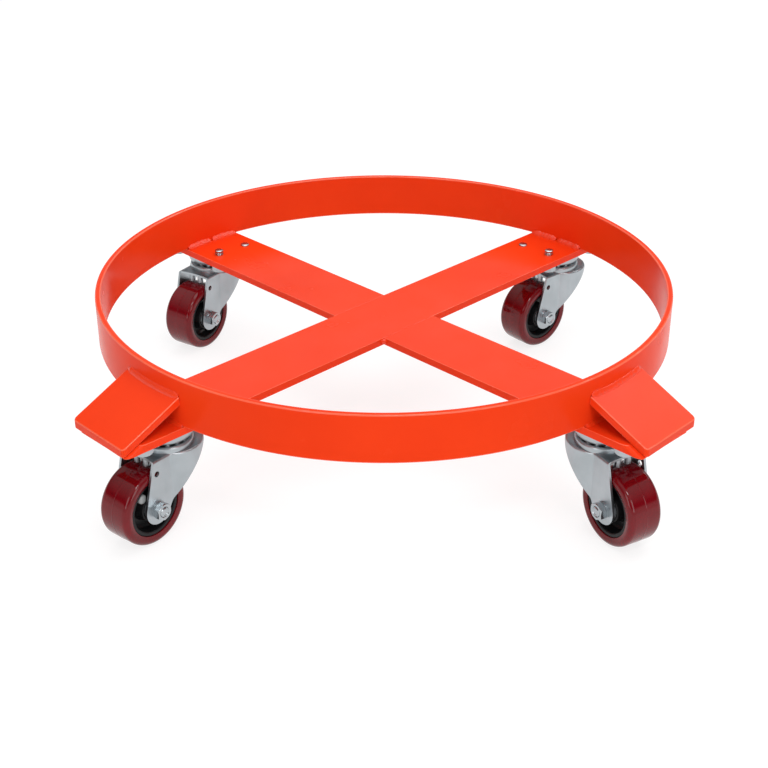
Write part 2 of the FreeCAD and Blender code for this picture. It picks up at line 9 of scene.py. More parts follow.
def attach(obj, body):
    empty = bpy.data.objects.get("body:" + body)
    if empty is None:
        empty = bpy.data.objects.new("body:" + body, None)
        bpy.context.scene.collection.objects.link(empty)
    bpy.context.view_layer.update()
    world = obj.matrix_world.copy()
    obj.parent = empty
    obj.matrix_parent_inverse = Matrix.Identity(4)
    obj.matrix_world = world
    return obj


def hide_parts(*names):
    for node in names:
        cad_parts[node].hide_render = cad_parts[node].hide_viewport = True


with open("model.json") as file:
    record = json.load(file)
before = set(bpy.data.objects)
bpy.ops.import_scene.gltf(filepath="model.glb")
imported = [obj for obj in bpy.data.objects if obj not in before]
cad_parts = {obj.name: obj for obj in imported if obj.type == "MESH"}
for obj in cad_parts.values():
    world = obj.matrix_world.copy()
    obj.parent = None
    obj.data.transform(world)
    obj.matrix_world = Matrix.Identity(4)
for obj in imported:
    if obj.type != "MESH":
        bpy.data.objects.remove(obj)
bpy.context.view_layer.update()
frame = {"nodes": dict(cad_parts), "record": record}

mm = 0.001
tiny = mm / 1000  # points nearer than this are merged
slack = 0.1  # millimetres within which two places count as one
lying = -math.pi / 2  # a turn about X that lays +Z along +Y
print("frame loaded:", len(frame["nodes"]), "nodes")

# where the casters stand and how they rest, angles from +X;
# nutTurn sets the nut to the other side, plugTurn is round the axle
casters = {
    "front_left": {"azimuth": 225, "heading": 232, "nutTurn": 0, "plugTurn": 49},
    "front_right": {"azimuth": 315, "heading": 299.7, "nutTurn": 180, "plugTurn": 100},
    "rear_left": {"azimuth": 135, "heading": 238, "nutTurn": 0, "plugTurn": 105},
    "rear_right": {"azimuth": 45, "heading": 221, "nutTurn": 0, "plugTurn": 95},
}
layout = {"swivelOffset": 299, "trail": 36.3, "axleLevel": 40}


def clearSelection():
    if bpy.context.object and bpy.context.object.mode != "OBJECT":
        bpy.ops.object.mode_set(mode="OBJECT")
    bpy.ops.object.select_all(action="DESELECT")


def pick(piece):
    clearSelection()
    piece.select_set(True)
    bpy.context.view_layer.objects.active = piece


def named(name):
    piece = bpy.context.object
    piece.name = name
    piece.data.name = name
    return piece


def applyPlace(piece):
    pick(piece)
    bpy.ops.object.transform_apply(location=True, rotation=True, scale=True)
    return piece


def turned(piece, degrees):
    # about the upright axis through the origin
    piece.rotation_euler[2] = math.radians(degrees)
    return applyPlace(piece)


def smoothBy(piece, degrees):
    # edges sharper than this stay crisp
    pick(piece)
    bpy.ops.object.shade_smooth_by_angle(angle=math.radians(degrees))
    return piece


def addBlock(name, low, high):
    clearSelection()
    middle = [(a + b) / 2 * mm for a, b in zip(low, high)]
    bpy.ops.mesh.primitive_cube_add(size=1, location=middle)
    piece = named(name)
    piece.scale = [(b - a) * mm for a, b in zip(low, high)]
    return applyPlace(piece)


def addDrum(name, radius, low, high, spot=(0, 0), sides=96, along="z"):
    # along "y" lays the drum on its side; spot is then (x, z)
    clearSelection()
    middle = (low + high) / 2
    place = (spot[0], spot[1], middle) if along == "z" else (spot[0], middle, spot[1])
    turn = (0, 0, 0) if along == "z" else (lying, 0, 0)
    bpy.ops.mesh.primitive_cylinder_add(
        vertices=sides, radius=radius * mm, depth=(high - low) * mm,
        location=[value * mm for value in place], rotation=turn)
    return applyPlace(named(name))


def closeUp():
    # leaves edit mode with the seams merged and the faces outwards
    bpy.ops.mesh.select_all(action="SELECT")
    bpy.ops.mesh.remove_doubles(threshold=tiny)
    bpy.ops.mesh.select_all(action="SELECT")
    bpy.ops.mesh.normals_make_consistent(inside=False)
    bpy.ops.object.mode_set(mode="OBJECT")


def startOutline(name, place):
    # a small plane is merged to one point, and the outline is pulled from it
    clearSelection()
    bpy.ops.mesh.primitive_plane_add(size=mm)
    piece = named(name)
    bpy.ops.object.mode_set(mode="EDIT")
    bpy.ops.mesh.merge(type="CENTER")
    bpy.ops.transform.translate(value=place)
    return piece


def pull(move):
    bpy.ops.mesh.extrude_region_move(TRANSFORM_OT_translate={"value": move})


def addSpun(name, profile, steps=96, along="z"):
    # the profile is drawn point by point as (radius, height), closed, then spun
    piece = startOutline(name, (profile[0][0] * mm, 0, profile[0][1] * mm))
    for here, there in zip(profile, profile[1:] + profile[:1]):
        pull(((there[0] - here[0]) * mm, 0, (there[1] - here[1]) * mm))
    bpy.ops.mesh.select_all(action="SELECT")
    bpy.ops.mesh.remove_doubles(threshold=tiny)
    bpy.ops.mesh.select_all(action="SELECT")
    bpy.ops.mesh.spin(steps=steps, angle=2 * math.pi, center=(0, 0, 0), axis=(0, 0, 1))
    closeUp()
    if along == "y":
        piece.rotation_euler[0] = lying
    return applyPlace(piece)


def addProfilePlate(name, outline, start, stop, along="y"):
    # an outline in x and z, or in x and y, is filled and pulled out along the third axis
    def spot(point, depth):
        if along == "y":
            return Vector((point[0], depth, point[1])) * mm
        return Vector((point[0], point[1], depth)) * mm

    piece = startOutline(name, spot(outline[0], start))
    for here, there in zip(outline, outline[1:]):
        pull(spot(there, 0) - spot(here, 0))
    bpy.ops.mesh.select_all(action="SELECT")
    bpy.ops.mesh.edge_face_add()
    pull(spot((0, 0), stop - start))
    closeUp()
    return piece


def upright(first, second):
    return abs(first.z - second.z) > slack


def bevelWhere(piece, wanted, width, segments):
    # bevels the edges whose two ends pass the test, which gets them in millimetres
    pick(piece)
    bpy.ops.object.mode_set(mode="EDIT")
    bpy.ops.mesh.select_mode(type="EDGE")
    bpy.ops.mesh.select_all(action="DESELECT")
    bpy.ops.object.mode_set(mode="OBJECT")
    points = piece.data.vertices
    for edge in piece.data.edges:
        first, second = (points[end].co / mm for end in edge.vertices)
        edge.select = wanted(first, second)
    bpy.ops.object.mode_set(mode="EDIT")
    bpy.ops.mesh.bevel(offset=width * mm, segments=segments, affect="EDGES")
    bpy.ops.mesh.select_mode(type="VERT")
    bpy.ops.object.mode_set(mode="OBJECT")


def combine(piece, other, operation):
    pick(piece)
    step = piece.modifiers.new("combine", "BOOLEAN")
    step.operation = operation
    step.solver = "EXACT"
    step.object = other
    bpy.ops.object.modifier_apply(modifier=step.name)
    bpy.data.objects.remove(other)
    return piece


def cutAway(piece, cutter):
    return combine(piece, cutter, "DIFFERENCE")


def joinOn(piece, other):
    return combine(piece, other, "UNION")


def keepInside(piece, shape):
    return combine(piece, shape, "INTERSECT")


def softenEdges(piece, width, segments=2, angle=30, edgeSlot=-1):
    # rounds the sharp edges and keeps the flats flat; edgeSlot is the finish the rounded edges take
    pick(piece)
    step = piece.modifiers.new("soften", "BEVEL")
    step.width = width * mm
    step.segments = segments
    step.limit_method = "ANGLE"
    step.angle_limit = math.radians(angle)
    step.material = edgeSlot
    bpy.ops.object.modifier_apply(modifier=step.name)
    smoothBy(piece, angle)
    step = piece.modifiers.new("flats", "WEIGHTED_NORMAL")
    step.keep_sharp = True
    bpy.ops.object.modifier_apply(modifier=step.name)
    return piece


def copyOf(piece, name):
    pick(piece)
    bpy.ops.object.duplicate(linked=False)
    return named(name)


def merged(pieces, name):
    clearSelection()
    for piece in pieces:
        piece.select_set(True)
    bpy.context.view_layer.objects.active = pieces[0]
    bpy.ops.object.join()
    return named(name)


def newFinish(name):
    finish = bpy.data.materials.new(name)
    finish.use_nodes = True
    return finish, finish.node_tree.nodes, finish.node_tree.links


def addNode(nodes, kind, **values):
    # a value goes to the node's own setting of that name, or else to its socket
    made = nodes.new(kind)
    for key, value in values.items():
        if hasattr(made, key):
            setattr(made, key, value)
        else:
            made.inputs[key].default_value = value
    return made


def noiseAt(nodes, links, scale, detail=3, stretch=None):
    # noise on Object coordinates; stretch squeezes the pattern along an axis
    where = addNode(nodes, "ShaderNodeTexCoord")
    spot = where.outputs["Object"]
    if stretch:
        mapping = addNode(nodes, "ShaderNodeMapping")
        mapping.inputs["Scale"].default_value = stretch
        links.new(spot, mapping.inputs["Vector"])
        spot = mapping.outputs["Vector"]
    noise = addNode(nodes, "ShaderNodeTexNoise", Scale=scale, Detail=detail)
    links.new(spot, noise.inputs["Vector"])
    return noise.outputs["Fac"]


noiseSpan = (0.3, 0.7)  # where most of a noise's values lie


def spread(nodes, links, source, low, high, span=noiseSpan):
    # maps the span of the source to low and high
    step = addNode(nodes, "ShaderNodeMapRange")
    for key, value in zip(("From Min", "From Max", "To Min", "To Max"), (*span, low, high)):
        step.inputs[key].default_value = value
    links.new(source, step.inputs["Value"])
    return step.outputs["Result"]


def tint(nodes, links, source, tones):
    # the base colour runs between two tones
    ramp = addNode(nodes, "ShaderNodeValToRGB")
    for index, (place, tone) in enumerate(zip(noiseSpan, tones)):
        ramp.color_ramp.elements[index].position = place
        ramp.color_ramp.elements[index].color = (*tone, 1)
    links.new(source, ramp.inputs["Fac"])
    links.new(ramp.outputs["Color"], nodes["Principled BSDF"].inputs["Base Color"])


def polish(nodes, links, source, gloss):
    # the roughness runs between two values
    links.new(spread(nodes, links, source, *gloss), nodes["Principled BSDF"].inputs["Roughness"])


def roughen(nodes, links, sources, depth, strength):
    # stacks bumps, coarse first
    normal = None
    for source, share in sources:
        bump = addNode(nodes, "ShaderNodeBump")
        bump.inputs["Strength"].default_value = strength * share
        bump.inputs["Distance"].default_value = depth * mm
        links.new(source, bump.inputs["Height"])
        if normal:
            links.new(normal, bump.inputs["Normal"])
        normal = bump.outputs["Normal"]
    links.new(normal, nodes["Principled BSDF"].inputs["Normal"])


paint = {
    "tones": ((0.81, 0.041, 0.006), (0.87, 0.050, 0.008)),
    # the paler edge tones below paint a highlight along every rounded edge
    "edgeHighlightTones": ((0.88, 0.080, 0.025), (0.93, 0.120, 0.045)),
    "gloss": (0.18, 0.28),
    "sheen": 0.09,
    "bandSheen": 0.045,
    "weldSheen": 0.4,
    "edgeSheen": 0.55,
    "cloudScale": 7,
    "smearScale": 24,
    "skin": {"scale": 520, "depth": 0.3, "strength": 0.03},
    "weldSkin": {"scale": 700, "depth": 0.3, "strength": 1.0},
}


def orangePowderCoat(name, sheen, tones=paint["tones"], skin=paint["skin"]):
    finish, nodes, links = newFinish(name)
    tint(nodes, links, noiseAt(nodes, links, paint["cloudScale"], detail=4), tones)
    polish(nodes, links, noiseAt(nodes, links, paint["smearScale"], detail=4), paint["gloss"])
    peel = noiseAt(nodes, links, skin["scale"], detail=2)
    roughen(nodes, links, ((peel, 1),), skin["depth"], skin["strength"])
    nodes["Principled BSDF"].inputs["Specular IOR Level"].default_value = sheen
    return finish


zinc = {
    "tones": ((0.38, 0.415, 0.435), (0.45, 0.485, 0.51)),
    "gloss": (0.30, 0.37),
    "boltGloss": (0.20, 0.27),
    "hazeScale": 40,
    "rolledScale": 300,
    "rolledStretch": (1, 1, 0.12),
    "rolledShare": 0.5,
    "speckScale": 900,
    "depth": 0.1,
    "grain": 0.02,
    "boltGrain": 0.01,
}


def zincPlate(name, gloss, grain):
    finish, nodes, links = newFinish(name)
    nodes["Principled BSDF"].inputs["Metallic"].default_value = 1
    tint(nodes, links, noiseAt(nodes, links, zinc["hazeScale"], detail=5), zinc["tones"])
    rolled = noiseAt(nodes, links, zinc["rolledScale"], stretch=zinc["rolledStretch"])
    polish(nodes, links, rolled, gloss)
    speck = noiseAt(nodes, links, zinc["speckScale"], detail=2)
    roughen(nodes, links, ((rolled, zinc["rolledShare"]), (speck, 1)), zinc["depth"], grain)
    return finish


tread = {
    "tones": ((0.135, 0.0012, 0.004), (0.170, 0.0018, 0.006)),
    "gloss": (0.06, 0.11),
    "sheen": 0.34,
    "cloudScale": 34,
    "smearScale": 70,
    "ripple": {"scale": 160, "depth": 0.2, "strength": 0.02},
}


def maroonPolyurethane():
    finish, nodes, links = newFinish("maroonPolyurethane")
    tint(nodes, links, noiseAt(nodes, links, tread["cloudScale"]), tread["tones"])
    polish(nodes, links, noiseAt(nodes, links, tread["smearScale"], detail=4), tread["gloss"])
    ripple = noiseAt(nodes, links, tread["ripple"]["scale"], detail=2)
    roughen(nodes, links, ((ripple, 1),), tread["ripple"]["depth"], tread["ripple"]["strength"])
    nodes["Principled BSDF"].inputs["Specular IOR Level"].default_value = tread["sheen"]
    return finish


core = {
    "tones": ((0.006, 0.006, 0.007), (0.012, 0.012, 0.013)),
    "gloss": (0.30, 0.45),
    "sheen": 0.22,
    "cloudScale": 80,
    "grain": {"scale": 1300, "depth": 0.1, "strength": 0.15},
}


def blackCore():
    finish, nodes, links = newFinish("blackCore")
    cloud = noiseAt(nodes, links, core["cloudScale"], detail=4)
    tint(nodes, links, cloud, core["tones"])
    polish(nodes, links, cloud, core["gloss"])
    grain = noiseAt(nodes, links, core["grain"]["scale"], detail=2)
    roughen(nodes, links, ((grain, 1),), core["grain"]["depth"], core["grain"]["strength"])
    nodes["Principled BSDF"].inputs["Specular IOR Level"].default_value = core["sheen"]
    return finish


steel = {"tones": ((0.55, 0.55, 0.56), (0.70, 0.70, 0.72)), "gloss": (0.08, 0.2), "cloudScale": 120}


def ballSteel():
    finish, nodes, links = newFinish("ballSteel")
    nodes["Principled BSDF"].inputs["Metallic"].default_value = 1
    cloud = noiseAt(nodes, links, steel["cloudScale"])
    tint(nodes, links, cloud, steel["tones"])
    polish(nodes, links, cloud, steel["gloss"])
    return finish


cap = {
    "tones": ((0.33, 0.35, 0.35), (0.40, 0.42, 0.42)),
    "gloss": (0.45, 0.6),
    "cloudScale": 260,
    "depth": 0.1,
    "strength": 0.1,
}


def greyCap():
    finish, nodes, links = newFinish("greyCap")
    cloud = noiseAt(nodes, links, cap["cloudScale"], detail=4)
    tint(nodes, links, cloud, cap["tones"])
    polish(nodes, links, cloud, cap["gloss"])
    roughen(nodes, links, ((cloud, 1),), cap["depth"], cap["strength"])
    return finish


coatFinish = orangePowderCoat("orangePowderCoat", paint["sheen"])
bandFinish = orangePowderCoat("bandCoat", paint["bandSheen"])
# the rounded edges' finish: paler tones that paint a highlight, with more sheen
highlightEdgeFinish = orangePowderCoat("paintedHighlightEdge", paint["edgeSheen"], paint["edgeHighlightTones"])
weldFinish = orangePowderCoat("coatedWeld", paint["weldSheen"], skin=paint["weldSkin"])
finishes = {
    "orange_powder_coat": coatFinish,
    "zinc_plate": zincPlate("zincPlate", zinc["gloss"], zinc["grain"]),
    "bright_zinc": zincPlate("brightZinc", zinc["boltGloss"], zinc["boltGrain"]),
    "ball_steel": ballSteel(),
    "maroon_polyurethane": maroonPolyurethane(),
    "black_core": blackCore(),
}
capFinish = greyCap()
# the CAD nodes that stay in sight take their slot's finish
for entry in frame["record"]["subparts"]:
    node = frame["nodes"][entry["node"]]
    node.data.materials.clear()
    node.data.materials.append(finishes[entry["material_slot"]])
print("finishes made:", len(finishes))


def coatedEdges(piece, width, finish=coatFinish):
    # the rounded edges take a paler base colour, a painted highlight, under a glossier coat
    piece.data.materials.append(finish)
    piece.data.materials.append(highlightEdgeFinish)
    return softenEdges(piece, width, segments=3, edgeSlot=1)


def settle(piece, body, slot, *nodes, finish=None):
    # a piece that has no finish yet takes the one given, or its slot's
    if not piece.data.materials:
        piece.data.materials.append(finish or finishes[slot])
    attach(piece, body)
    if nodes:
        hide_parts(*nodes)


ring = {"bore": 300, "outer": 306, "low": 124, "high": 174, "edge": 1.3, "steps": 288}


def makeRing():
    profile = [
        (ring["bore"], ring["low"]),
        (ring["outer"], ring["low"]),
        (ring["outer"], ring["high"]),
        (ring["bore"], ring["high"]),
    ]
    band = addSpun("ringBand", profile, ring["steps"])
    coatedEdges(band, ring["edge"], bandFinish)
    settle(band, "frame", "orange_powder_coat", "ring_band")


bar = {
    "half": 38, "low": 116, "high": 124, "corner": 4, "cornerSteps": 6, "edge": 1.2,
    "endTop": 353.18, "endLow": 370.34,  # where the sloped end meets the upper and the lower face
}


def outerCorner(first, second):
    # an edge through the thickness at a far end
    farOut = min(abs(first.x), abs(second.x)) > bar["endTop"] - slack
    return farOut and upright(first, second) and abs(first.y - second.y) < slack


def makeBar(name, node, start, azimuth):
    # start is where the lower and the upper face begin, along the bar
    outline = [
        (start[0], bar["low"]),
        (bar["endLow"], bar["low"]),
        (bar["endTop"], bar["high"]),
        (start[1], bar["high"]),
    ]
    piece = addProfilePlate(name, outline, -bar["half"], bar["half"])
    bevelWhere(piece, outerCorner, bar["corner"], bar["cornerSteps"])
    coatedEdges(piece, bar["edge"])
    settle(turned(piece, azimuth), "frame", "orange_powder_coat", node)


# turn sets a plate a little round the ring from its bar
guard = {
    "half": 41, "angle": 25, "thick": 8, "rise": 22, "inner": 295.1, "gap": 0.2, "edge": 1.4, "cutSpan": (100, 200),
    "turn": {"front_left": -1.1, "front_right": 1.5, "rear_left": 0, "rear_right": 0},
}
guardSkin = guard["thick"] / math.cos(math.radians(guard["angle"]))  # thickness measured upright


def guardTop(along):
    # height of the plate's upper face at a distance from the ring's axis
    slope = math.tan(math.radians(guard["angle"]))
    return bar["high"] + guard["rise"] + (ring["outer"] - along) * slope + guardSkin


def makeGuard(corner):
    outline = [
        (guard["inner"], guardTop(guard["inner"]) - guardSkin),
        (bar["endLow"], bar["low"]),
        (bar["endLow"], bar["low"] + guardSkin),
        (guard["inner"], guardTop(guard["inner"])),
    ]
    plate = addProfilePlate("guardPlate_" + corner, outline, -guard["half"], guard["half"])
    bevelWhere(plate, outerCorner, bar["corner"], bar["cornerSteps"])
    cutAway(plate, addDrum("ringFace", ring["outer"] + guard["gap"], *guard["cutSpan"], sides=ring["steps"]))
    coatedEdges(plate, guard["edge"])
    turned(plate, casters[corner]["azimuth"] + guard["turn"][corner])
    settle(plate, "frame", "orange_powder_coat", "gusset_plate_" + corner)


makeRing()
makeBar("throughBar", "through_bar", (-bar["endLow"], -bar["endTop"]), casters["rear_right"]["azimuth"])
for corner in ("front_right", "rear_left"):
    makeBar("halfBar_" + corner, "half_bar_" + corner, (bar["half"], bar["half"]), casters[corner]["azimuth"])
for corner in casters:
    makeGuard(corner)
print("welded frame made")


weld = {
    "step": 1.5, "sides": 16, "seed": 7,
    "jitter": 0.05, "lumps": 0.2, "rough": 0.3,  # how far a bead swells and pinches
    "tip": 0.3, "grow": 0.23,  # share of the full width at the ends, and what each step adds
    "shortRun": 8, "shortWidth": 0.9,  # a run of so few points keeps one width
    "wander": (0.2, 0.25),  # sideways and up
}
dice = random.Random(weld["seed"])


def addBead(route, size, flat=1, roll=0, jitter=weld["jitter"]):
    # a disc pulled along the route in short steps, each swollen or pinched a little;
    # flat squeezes the disc, roll turns the squeezed side into the corner
    clearSelection()
    points = [Vector(point) * mm for point in route]
    facing = (points[-1] - points[0]).to_track_quat("Z", "Y") @ Quaternion((0, 0, 1), math.radians(roll))
    bpy.ops.mesh.primitive_circle_add(
        vertices=weld["sides"], radius=size * weld["tip"] * mm, fill_type="NGON",
        location=points[0], rotation=facing.to_euler())
    bead = named("bead")
    bead.scale = (flat, 1, 1)
    applyPlace(bead)
    bpy.ops.object.mode_set(mode="EDIT")
    bpy.ops.mesh.select_all(action="SELECT")
    width = weld["tip"]
    for index, (here, there) in enumerate(zip(points, points[1:])):
        pull(there - here)
        taper = weld["shortWidth"]
        if len(points) > weld["shortRun"]:
            fromEnd = min(index + 1, len(points) - 2 - index)
            taper = min(1, weld["tip"] + weld["grow"] * fromEnd)
        wanted = taper * (1 + dice.uniform(-1, 1) * jitter)
        factor = wanted / width
        bpy.ops.transform.resize(value=(factor, factor, factor), center_override=there)
        width = wanted
    closeUp()
    step = bead.modifiers.new("round", "SUBSURF")
    step.levels = step.render_levels = 1
    pick(bead)
    bpy.ops.object.modifier_apply(modifier=step.name)
    bpy.ops.object.shade_smooth()
    return bead


fillet = {
    "inside": 4.8, "outside": 3.4, "guard": 3.8, "flat": 0.34, "sink": 0.30,
    "insideRoll": 45, "outsideRoll": 135, "guardRoll": 147,
    "reach": 37, "guardReach": 40, "guardOut": 1.2, "guardUp": 1.1,
    "split": 4, "pause": 1,  # the inside bead is laid in two runs
}


def ringRoute(radius, start, stop, level=None):
    # points round the ring from start to stop across a bar; with no level they follow the guard plate
    sideways, upward = weld["wander"]
    count = max(3, int(abs(stop - start) / weld["step"]))
    route = []
    for index in range(count + 1):
        across = start + (stop - start) * index / count
        along = math.sqrt(radius * radius - across * across)
        height = guardTop(along) + fillet["guardUp"] if level is None else level
        route.append((along, across + dice.uniform(-sideways, sideways), height + dice.uniform(-upward, upward)))
    return route


def makeFrameWelds():
    reach, guardReach, pause = fillet["reach"], fillet["guardReach"], fillet["pause"]
    for corner, spot in casters.items():
        beads = []
        split = dice.uniform(-fillet["split"], fillet["split"])
        out = fillet["inside"] * fillet["sink"]
        for start, stop in ((-reach, split - pause), (split + pause, reach)):
            route = ringRoute(ring["bore"] - out, start, stop, bar["high"] + out)
            beads.append(addBead(route, fillet["inside"], fillet["flat"], fillet["insideRoll"], weld["rough"]))
        out = fillet["outside"] * fillet["sink"]
        route = ringRoute(ring["outer"] + out, -reach, reach, bar["high"] + out)
        beads.append(addBead(route, fillet["outside"], fillet["flat"], fillet["outsideRoll"]))
        route = ringRoute(ring["outer"] + fillet["guardOut"], -guardReach, guardReach)
        lumps = weld["lumps"] if corner == "front_right" else weld["jitter"]
        bead = addBead(route, fillet["guard"], fillet["flat"], fillet["guardRoll"], lumps)
        beads.append(turned(bead, guard["turn"][corner]))
        group = turned(merged(beads, "ringWelds_" + corner), spot["azimuth"])
        settle(group, "frame", "orange_powder_coat", finish=weldFinish)


crossing = {
    "seamSize": 0.7, "seamSink": 0.35, "seamStep": 2.2,
    "cornerSize": 2.4, "frontCorner": 4.4, "cornerOut": 0.15, "dropRises": (1, 3, 5), "dropSink": 0.6,
    "mark": 2.2, "markSteps": 32, "markSmooth": 50,
    "markProfile": [(0, -1), (1, -1), (1, 0), (0.7, 0.35), (0.4, 0.1), (0, 0.05)],  # share of mark, rise
}


def makeCrossWelds():
    # two flat seams where the half bars meet the through bar, and a drop in each inner corner
    beads = []
    half, top = bar["half"], bar["high"]
    count = int(2 * half / crossing["seamStep"])
    places = [2 * half * index / count - half for index in range(count + 1)]
    heights = [bar["low"] + rise for rise in crossing["dropRises"]] + [top - crossing["dropSink"]]
    for side in (-1, 1):
        seam = [(place, side * half, top - crossing["seamSink"]) for place in places]
        beads.append(addBead(seam, crossing["seamSize"]))
        for end in (-1, 1):
            front = side < 0 and end < 0
            size = crossing["frontCorner"] if front else crossing["cornerSize"]
            spot = half + size * crossing["cornerOut"]
            beads.append(addBead([(end * spot, side * spot, height) for height in heights], size))
    group = turned(merged(beads, "crossWelds"), casters["rear_right"]["azimuth"])
    settle(group, "frame", "orange_powder_coat", finish=weldFinish)
    profile = [(crossing["mark"] * share, top + rise) for share, rise in crossing["markProfile"]]
    mark = smoothBy(addSpun("centreMark", profile, crossing["markSteps"]), crossing["markSmooth"])
    settle(mark, "frame", "orange_powder_coat")


makeFrameWelds()
makeCrossWelds()
print("weld beads made")


hexagon = {"turnDown": 0.62, "steps": 64, "boreSteps": 48, "past": 0.01, "smooth": 25}


def addHex(name, flats, low, high, crown="low", along="z", bore=0):
    # a six-sided prism whose corners are turned down at one or both ends
    corner = flats / 2 / math.cos(math.pi / 6)
    slope = (corner - flats / 2) * hexagon["turnDown"]
    piece = addDrum(name, corner, low, high, sides=6)
    far, past = corner + 1, hexagon["past"]
    lowEdge = (flats / 2, low) if crown in ("low", "both") else (far, low)
    highEdge = (flats / 2, high) if crown in ("high", "both") else (far, high)
    profile = [(0, low - past), lowEdge, (far, low + slope * 2)]
    profile += [(far, high - slope * 2), highEdge, (0, high + past)]
    keepInside(piece, addSpun("turned", profile, hexagon["steps"]))
    if bore:
        mouth = bore + slope
        hole = [(0, low - 1), (bore, low - 1), (bore, high - slope), (mouth, high), (mouth, high + 1), (0, high + 1)]
        cutAway(piece, addSpun("bore", hole, hexagon["boreSteps"]))
    smoothBy(piece, hexagon["smooth"])
    if along == "y":
        piece.rotation_euler[0] = lying
        applyPlace(piece)
    return piece


def threadProfile(radius, low, high, pitch, depth):
    # the zigzag edge of a thread from low to high
    crest = 0.1
    edge = []
    level = low
    while level + pitch <= high:
        edge.append((radius, level + pitch * crest))
        edge.append((radius - depth, level + pitch / 2))
        edge.append((radius, level + pitch * (1 - crest)))
        level += pitch
    return edge


bolt = {
    "radius": 5, "pitch": 1.5, "threadDepth": 0.35, "threadBelow": 2, "chamfer": 0.8, "tipEdge": (0.5, 0.15),
    "flats": 16, "headLow": 103.6, "headHigh": 110, "bite": 0.5, "steps": 40, "smooth": 35,
    "reach": {"long": 6, "short": 2}, "underGuard": 3.5, "pitchLong": 40, "pitchWide": 20,
}


def makeBolt(reach):
    radius, chamfer = bolt["radius"], bolt["chamfer"]
    foot, thread, tip = bolt["headHigh"] - bolt["bite"], bar["high"] - bolt["threadBelow"], bar["high"] + reach
    edgeIn, edgeDown = bolt["tipEdge"]
    head = addHex("boltHead", bolt["flats"], bolt["headLow"], bolt["headHigh"])
    profile = [(0, foot), (radius, foot), (radius, thread)]
    profile += threadProfile(radius, thread, tip - chamfer, bolt["pitch"], bolt["threadDepth"])
    profile += [(radius, tip - chamfer), (radius - chamfer, tip - edgeDown)]
    profile += [(radius - chamfer - edgeIn, tip), (0, tip)]
    shank = smoothBy(addSpun("boltShank", profile, bolt["steps"]), bolt["smooth"])
    return merged([head, shank], "casterBolt")


def makeBolts():
    groups = {"long": [], "short": []}
    for corner, spot in casters.items():
        azimuth = math.radians(spot["azimuth"])
        for along in (-1, 1):
            for across in (-1, 1):
                x = layout["swivelOffset"] + along * bolt["pitchLong"]
                y = across * bolt["pitchWide"]
                kind = "long" if y * math.cos(azimuth) < 0 else "short"  # long on the side towards -Y
                reach = bolt["reach"][kind]
                piece = makeBolt(reach if along < 0 else min(reach, bolt["underGuard"]))
                piece.location = (
                    (x * math.cos(azimuth) - y * math.sin(azimuth)) * mm,
                    (x * math.sin(azimuth) + y * math.cos(azimuth)) * mm, 0)
                piece.rotation_euler[2] = dice.uniform(0, 1)
                groups[kind].append(applyPlace(piece))
    for kind, pieces in groups.items():
        group = merged(pieces, "casterBolts_" + kind)
        settle(group, "frame", "bright_zinc", "caster_bolts_" + kind)


makeBolts()
print("bolts made")


# the caster pieces are modelled once about the swivel axis, with the wheel trailing along +X
topPlate = {
    "long": 52.5, "wide": 32, "low": 112, "high": 116, "corner": 7, "cornerSteps": 8, "edge": 0.5,
    "holeGap": 0.5, "holeSides": 32, "cutSpan": (100, 130),
    "raceIn": 17, "raceOut": 25, "raceLow": 101.4, "raceBite": 1, "steps": 96, "smooth": 40,
    "groove": [(-2.6, 0), (-1.4, 0.9), (1.4, 0.9), (2.6, 0)],  # out from the line of the balls, up from raceLow
    "lip": [(-0.6, 0), (0.8, 0.4), (1.9, 1.4), (2.7, 3), (3.2, 5.2), (3.4, 8), (3.5, 10.6)],  # out from raceOut
}


def makeTopPlate():
    size = topPlate
    low, high = (-size["long"], -size["wide"], size["low"]), (size["long"], size["wide"], size["high"])
    plate = addBlock("topPlate", low, high)
    bevelWhere(plate, upright, size["corner"], size["cornerSteps"])
    for along in (-1, 1):
        for across in (-1, 1):
            spot = (along * bolt["pitchLong"], across * bolt["pitchWide"])
            hole = addDrum("hole", bolt["radius"] + size["holeGap"], *size["cutSpan"], spot, size["holeSides"])
            cutAway(plate, hole)
    softenEdges(plate, size["edge"])
    foot, top = size["raceLow"], size["low"] + size["raceBite"]
    ballLine = (size["raceIn"] + size["raceOut"]) / 2
    profile = [(size["raceIn"], top), (size["raceIn"], foot)]
    profile += [(ballLine + out, foot + rise) for out, rise in size["groove"]]
    profile += [(size["raceOut"] + out, foot + rise) for out, rise in size["lip"]]
    profile += [(size["raceOut"] + size["lip"][-1][0], top)]
    race = smoothBy(addSpun("upperRace", profile, size["steps"]), size["smooth"])
    return merged([plate, race], "topPlate")


fork = {
    "crown": 32, "setback": 6.3, "sheet": 2.5, "legOut": 22.3, "foot": 20, "spare": 6,
    "flangeTop": 93, "bend": 2.2, "crease": 1.6, "bendSteps": 4,
    "dome": 27, "domeTop": 99, "rim": 3, "rimSteps": 6, "domeBite": 2, "domeFlare": (0.3, 0.2),
    "frontReach": 38, "frontMeet": 15, "endRadius": 15.5, "backMeet": 200, "backCurve": 200,
    "skirt": 89, "skirtBack": 25, "archDepth": 2, "archSpan": (-8, 2),
    "bore": 5.15, "pinHole": 6.4, "holeSpot": (35, 79.1), "holeRadius": 3,
    "lugRadius": 3.5, "lugLow": 82.5, "lugSpot": (32.5, 6), "lugBite": 1,
    "sides": {"crown": 72, "dome": 128, "end": 24, "back": 20, "arch": 16, "bore": 48, "hole": 32, "lug": 40},
    "smooth": 28,
}
# where the fork's cutters begin and end, clear of the sheet
forkCut = {
    "side": 60, "margin": 5, "front": 20, "above": 3, "hollowFoot": 10, "domeFoot": 80,
    "holeStart": 10, "pinSpan": (80, 120),
}


